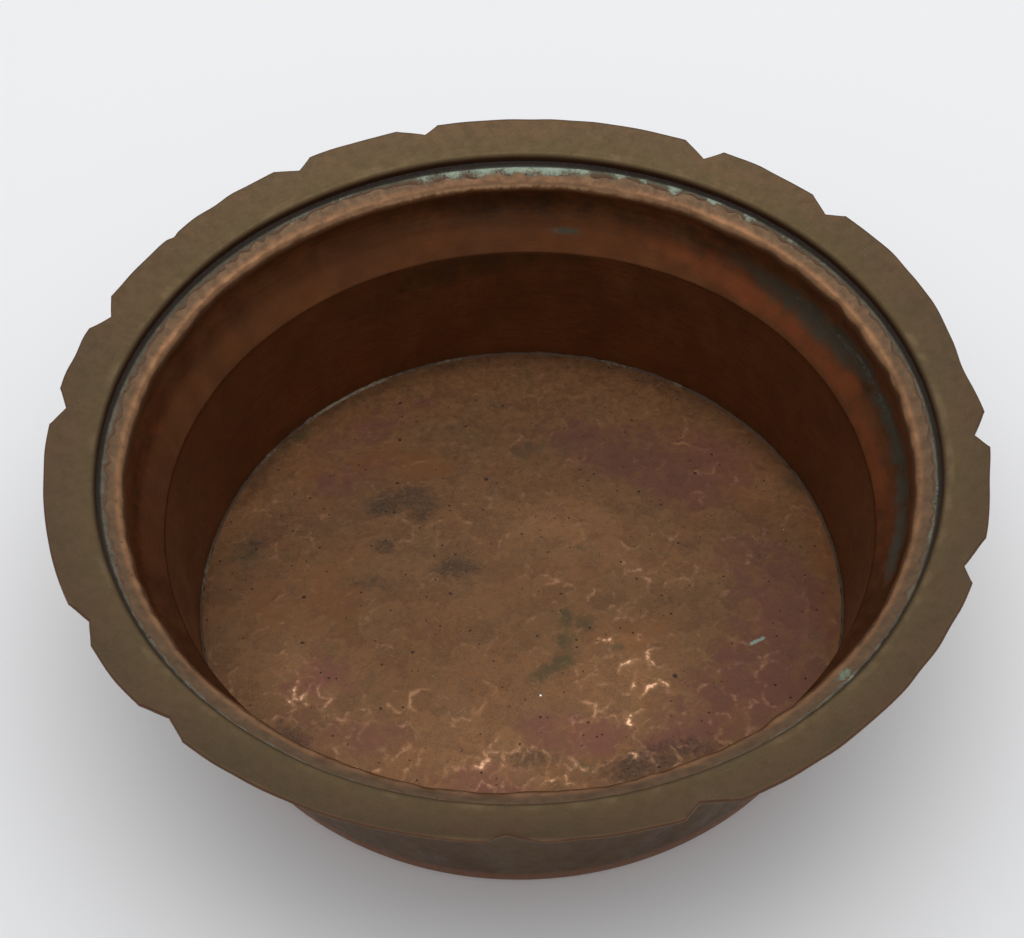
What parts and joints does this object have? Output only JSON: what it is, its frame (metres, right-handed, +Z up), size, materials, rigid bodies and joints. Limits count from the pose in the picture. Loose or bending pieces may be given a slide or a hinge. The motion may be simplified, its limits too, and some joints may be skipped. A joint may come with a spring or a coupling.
{
  "type": "hammered copper bowl",
  "caption": "Wide flat-bottomed copper bowl with a hammered base disc, a lapped wall, a ledged shoulder and a dished, scalloped rim flange.",
  "frame": {"origin": "centre of the standing face, at the level the bowl stands on", "axes": "+Z up along the axis of the bowl, from the standing face to the rim; +X and +Y in the plane of the standing face, placed by the notches of the rim"},
  "size_m": [0.42, 0.42, 0.125],
  "materials": {
    "rim_patina": "olive-brown aged patina, fine scratches",
    "shoulder_copper": "reddish-brown tarnished copper, satin",
    "wall_copper": "dark brown tarnished copper with fine turning lines",
    "hammered_copper": "hand-hammered copper, mottled satin patina",
    "verdigris_solder": "grey-green verdigris over soft solder",
    "dark_solder": "dull darkened soft solder"
  },
  "bodies": {
    "root": {"rim_flange": "rim_patina", "shoulder_band": "shoulder_copper", "wall_band": "wall_copper", "base_disc": "hammered_copper", "rim_solder": "verdigris_solder", "waist_solder": "dark_solder", "base_solder": "dark_solder"}
  },
  "joints": []
}
